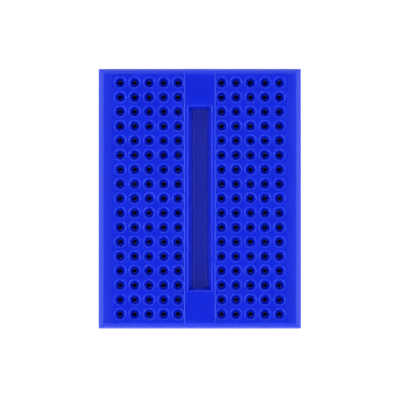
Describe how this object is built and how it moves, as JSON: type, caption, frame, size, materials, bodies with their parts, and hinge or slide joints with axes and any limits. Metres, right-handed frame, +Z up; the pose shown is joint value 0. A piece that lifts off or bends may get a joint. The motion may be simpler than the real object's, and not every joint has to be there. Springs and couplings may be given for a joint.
{
  "type": "solderless breadboard",
  "caption": "Small plug-in prototyping board: two banks of short sprung contact rows either side of a central channel, on an adhesive foam base.",
  "frame": {"origin": "centre of the underside, where the release liner meets the surface that the board stands on", "axes": "+X across the board from the left bank to the right bank, +Y along the board, +Z up out of the tie points"},
  "size_m": [0.0358, 0.0458, 0.0096],
  "materials": {
    "blue_abs": "satin",
    "nickel_plated_bronze": "satin",
    "foam_tape": "matte",
    "release_paper": "satin"
  },
  "bodies": {
    "board": {"housing": "blue_abs", "adhesive_foam_pad": "foam_tape", "contact_clip_left_01": "nickel_plated_bronze", "contact_clip_left_02": "nickel_plated_bronze", "contact_clip_left_03": "nickel_plated_bronze", "contact_clip_left_04": "nickel_plated_bronze", "contact_clip_left_05": "nickel_plated_bronze", "contact_clip_left_06": "nickel_plated_bronze", "contact_clip_left_07": "nickel_plated_bronze", "contact_clip_left_08": "nickel_plated_bronze", "contact_clip_left_09": "nickel_plated_bronze", "contact_clip_left_10": "nickel_plated_bronze", "contact_clip_left_11": "nickel_plated_bronze", "contact_clip_left_12": "nickel_plated_bronze", "contact_clip_left_13": "nickel_plated_bronze", "contact_clip_left_14": "nickel_plated_bronze", "contact_clip_left_15": "nickel_plated_bronze", "contact_clip_left_16": "nickel_plated_bronze", "contact_clip_left_17": "nickel_plated_bronze", "contact_clip_right_01": "nickel_plated_bronze", "contact_clip_right_02": "nickel_plated_bronze", "contact_clip_right_03": "nickel_plated_bronze", "contact_clip_right_04": "nickel_plated_bronze", "contact_clip_right_05": "nickel_plated_bronze", "contact_clip_right_06": "nickel_plated_bronze", "contact_clip_right_07": "nickel_plated_bronze", "contact_clip_right_08": "nickel_plated_bronze", "contact_clip_right_09": "nickel_plated_bronze", "contact_clip_right_10": "nickel_plated_bronze", "contact_clip_right_11": "nickel_plated_bronze", "contact_clip_right_12": "nickel_plated_bronze", "contact_clip_right_13": "nickel_plated_bronze", "contact_clip_right_14": "nickel_plated_bronze", "contact_clip_right_15": "nickel_plated_bronze", "contact_clip_right_16": "nickel_plated_bronze", "contact_clip_right_17": "nickel_plated_bronze"},
    "liner": {"release_liner": "release_paper"}
  },
  "joints": [
    {"name": "release_liner_peel", "type": "hinge", "parent": "board", "child": "liner", "pos_m": [0, -0.0225, 0.00012], "axis": [-1, 0, 0], "range_deg": [0, 180]}
  ]
}
